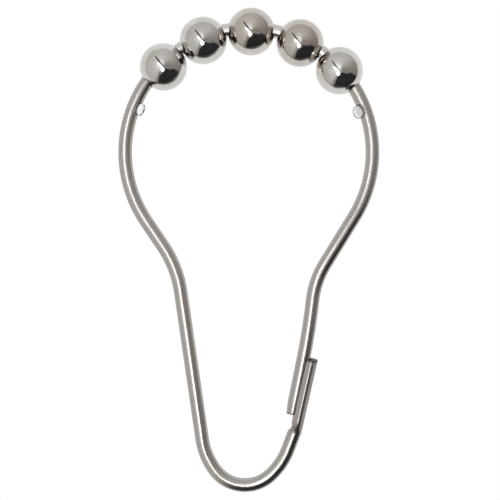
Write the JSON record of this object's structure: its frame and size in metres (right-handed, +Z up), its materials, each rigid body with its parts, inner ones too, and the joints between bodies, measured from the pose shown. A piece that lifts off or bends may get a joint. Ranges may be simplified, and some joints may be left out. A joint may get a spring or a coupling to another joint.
{
  "type": "shower curtain hook",
  "caption": "Pear-shaped shower curtain hook of bent steel wire with rolling balls on its rounded head and a sprung gate closing into a grooved clasp.",
  "frame": {"origin": "top of the widest curtain rod that the row of balls takes, straight below the top of the hook's head, in the middle plane of the wire", "axes": "+Z up as the hook hangs, +Y along the curtain rod away from the viewer, +X towards the gate limb and its clasp"},
  "size_m": [0.041, 0.0074, 0.0761],
  "materials": {
    "wire_steel": "drawn stainless wire, satin with fine lengthwise drawing lines",
    "ball_steel": "polished to a mirror"
  },
  "bodies": {
    "hook": {"hook_wire": "wire_steel"},
    "ball_1": {"roller_ball_1": "ball_steel"},
    "ball_2": {"roller_ball_2": "ball_steel"},
    "ball_3": {"roller_ball_3": "ball_steel"},
    "ball_4": {"roller_ball_4": "ball_steel"},
    "ball_5": {"roller_ball_5": "ball_steel"}
  },
  "joints": [
    {"name": "ball_1_roll", "type": "hinge", "parent": "hook", "child": "ball_1", "pos_m": [-0.01341, 0, -0.00183], "axis": [0.7071, 0, 0.7071], "continuous": true},
    {"name": "ball_2_roll", "type": "hinge", "parent": "hook", "child": "ball_2", "pos_m": [-0.00716, 0, 0.00232], "axis": [0.9261, 0, 0.3773], "continuous": true},
    {"name": "ball_3_roll", "type": "hinge", "parent": "hook", "child": "ball_3", "pos_m": [0.00037, 0, 0.00372], "axis": [0.9998, 0, -0.0197], "continuous": true},
    {"name": "ball_4_roll", "type": "hinge", "parent": "hook", "child": "ball_4", "pos_m": [0.00807, 0, 0.00192], "axis": [0.9051, 0, -0.4252], "continuous": true},
    {"name": "ball_5_roll", "type": "hinge", "parent": "hook", "child": "ball_5", "pos_m": [0.01425, 0, -0.00242], "axis": [0.6691, 0, -0.7431], "continuous": true}
  ]
}
